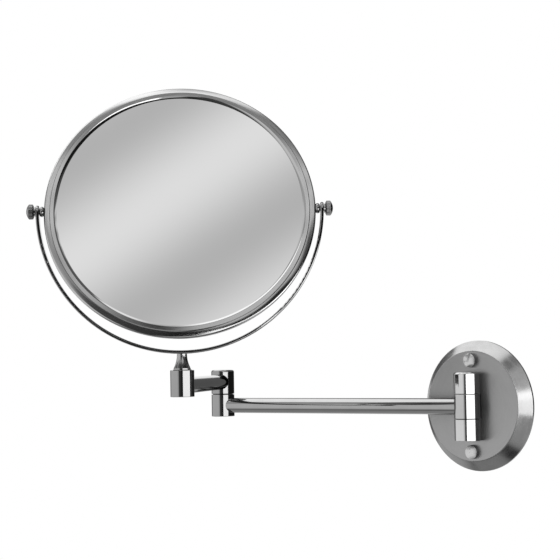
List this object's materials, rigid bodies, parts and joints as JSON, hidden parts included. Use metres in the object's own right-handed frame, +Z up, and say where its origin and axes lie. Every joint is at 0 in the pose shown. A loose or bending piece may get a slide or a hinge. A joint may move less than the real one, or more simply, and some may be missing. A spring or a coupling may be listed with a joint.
{
  "type": "extendable shaving mirror",
  "caption": "Round wall-mounted shaving mirror that tilts in a half-ring yoke, on a jointed folding arm with a round bevelled wall plate.",
  "frame": {"origin": "centre of the wall strap's back face, which is also the centre of the wall plate's back", "axes": "+Z up, +Y into the wall, so the object stands out of the wall towards -Y; +X to the right as seen from the room; the rest pose is the one in the picture"},
  "size_m": [0.2965, 0.2738, 0.3028],
  "materials": {
    "polished": "polished",
    "brushed": "satin",
    "mirror_glass": "polished",
    "plain_steel": "zinc plated",
    "nylon": "matte",
    "foam": "matte"
  },
  "bodies": {
    "wall_mount": {"wall_strap": "plain_steel", "strap_studs": "plain_steel", "wall_plate": "brushed", "cap_nuts": "polished", "upper_fixed_knuckle": "polished", "lower_fixed_knuckle": "polished", "knuckle_screws": "plain_steel", "wall_hinge_pin": "plain_steel", "pin_grub_screw": "plain_steel"},
    "rear_arm": {"wall_knuckle": "polished", "wall_hinge_bushes": "nylon", "rear_arm_tube": "polished", "elbow_lower_knuckle": "polished", "elbow_bush": "nylon", "elbow_end_cap": "nylon"},
    "front_arm": {"elbow_upper_knuckle": "polished", "elbow_bolt": "plain_steel", "elbow_spring_washer": "plain_steel", "front_arm_tube": "polished", "swivel_hub": "polished", "swivel_bush": "nylon", "hub_end_cap": "nylon"},
    "yoke": {"swivel_stem": "polished", "stem_washer": "plain_steel", "stem_screw": "plain_steel", "yoke_strip": "polished", "yoke_screw": "plain_steel"},
    "mirror": {"front_ring": "brushed", "rear_ring": "brushed", "front_glass": "mirror_glass", "rear_glass": "mirror_glass", "glass_spacer": "foam", "pivot_bosses": "polished"},
    "left_thumb_screw": {"left_thumb_screw": "polished"},
    "right_thumb_screw": {"right_thumb_screw": "polished"}
  },
  "joints": [
    {"name": "wall_swing", "type": "hinge", "parent": "wall_mount", "child": "rear_arm", "pos_m": [0, -0.0165, 0], "axis": [0, 0, 1], "range_deg": [-5, 169]},
    {"name": "elbow_swing", "type": "hinge", "parent": "rear_arm", "child": "front_arm", "pos_m": [-0.23568, -0.04962, 0], "axis": [0, 0, 1], "range_deg": [-297, 63]},
    {"name": "yoke_swivel", "type": "hinge", "parent": "front_arm", "child": "yoke", "pos_m": [-0.13818, -0.18888, 0.02015], "axis": [0, 0, 1], "continuous": true},
    {"name": "mirror_tilt", "type": "hinge", "parent": "yoke", "child": "mirror", "pos_m": [-0.13818, -0.18888, 0.1535], "axis": [0.7071, 0.7071, 0], "continuous": true},
    {"name": "left_thumb_screw_turn", "type": "hinge", "parent": "mirror", "child": "left_thumb_screw", "pos_m": [-0.13818, -0.18888, 0.1535], "axis": [-0.7071, -0.7071, 0], "range_deg": [0, 270]},
    {"name": "right_thumb_screw_turn", "type": "hinge", "parent": "mirror", "child": "right_thumb_screw", "pos_m": [-0.13818, -0.18888, 0.1535], "axis": [0.7071, 0.7071, 0], "range_deg": [0, 270]}
  ]
}
